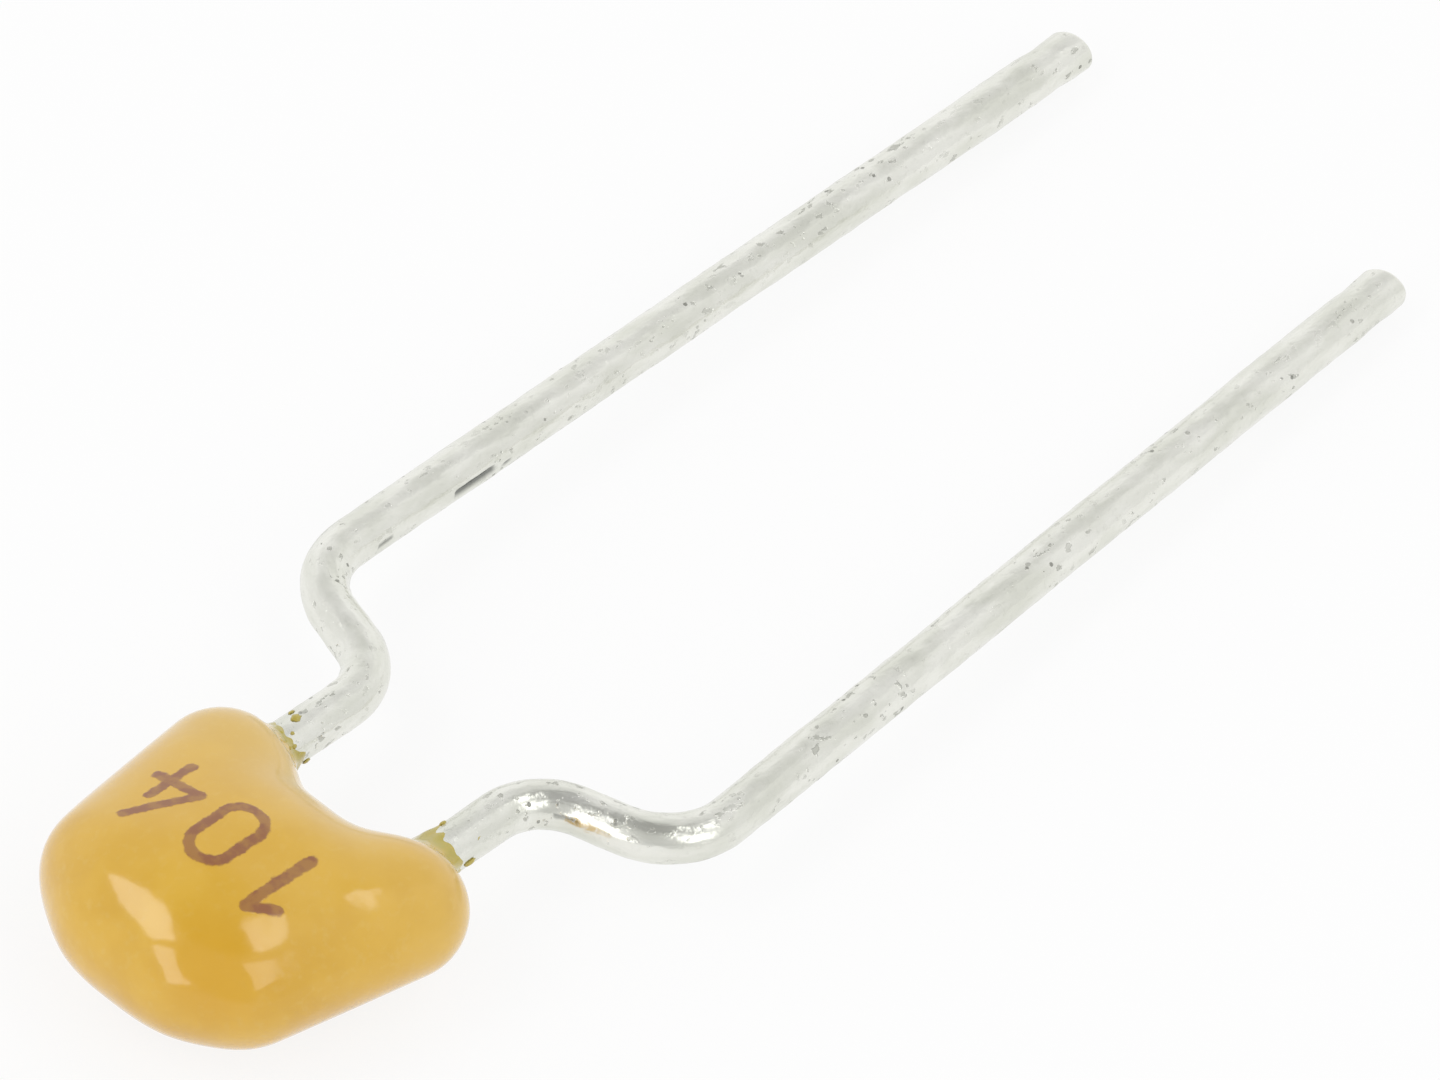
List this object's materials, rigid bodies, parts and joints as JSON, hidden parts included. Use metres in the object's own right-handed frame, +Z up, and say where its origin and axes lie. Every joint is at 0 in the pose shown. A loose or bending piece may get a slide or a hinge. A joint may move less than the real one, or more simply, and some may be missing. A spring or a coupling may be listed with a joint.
{
  "type": "multilayer ceramic capacitor",
  "caption": "Radial-lead multilayer ceramic capacitor: a layered ceramic chip in an amber epoxy dip, with kinked tinned wire legs for circuit-board holes.",
  "frame": {"origin": "middle of the bounding box at table height, as the part lies at rest on its body's underside and its wire tips", "axes": "+X along the wires from the body to their tips, +Y across the wires towards the right wire seen from the front face with the wires down, +Z up, out of the front face"},
  "size_m": [0.0164, 0.0056, 0.0019],
  "materials": {
    "epoxy": "glossy amber dipped epoxy, faintly mottled",
    "tinned_wire": "satin tin plating with fine drawing marks and small pits",
    "ceramic": "matt sintered ceramic",
    "electrode_metal": "matt sintered nickel",
    "termination_metal": "matt fired metal, tin plated",
    "solder": "smooth satin solder"
  },
  "bodies": {
    "root": {"epoxy_coating": "epoxy", "lead_left": "tinned_wire", "lead_right": "tinned_wire", "ceramic_block": "ceramic", "electrodes_left": "electrode_metal", "electrodes_right": "electrode_metal", "termination_left": "termination_metal", "termination_right": "termination_metal", "solder_left": "solder", "solder_right": "solder"}
  },
  "joints": []
}
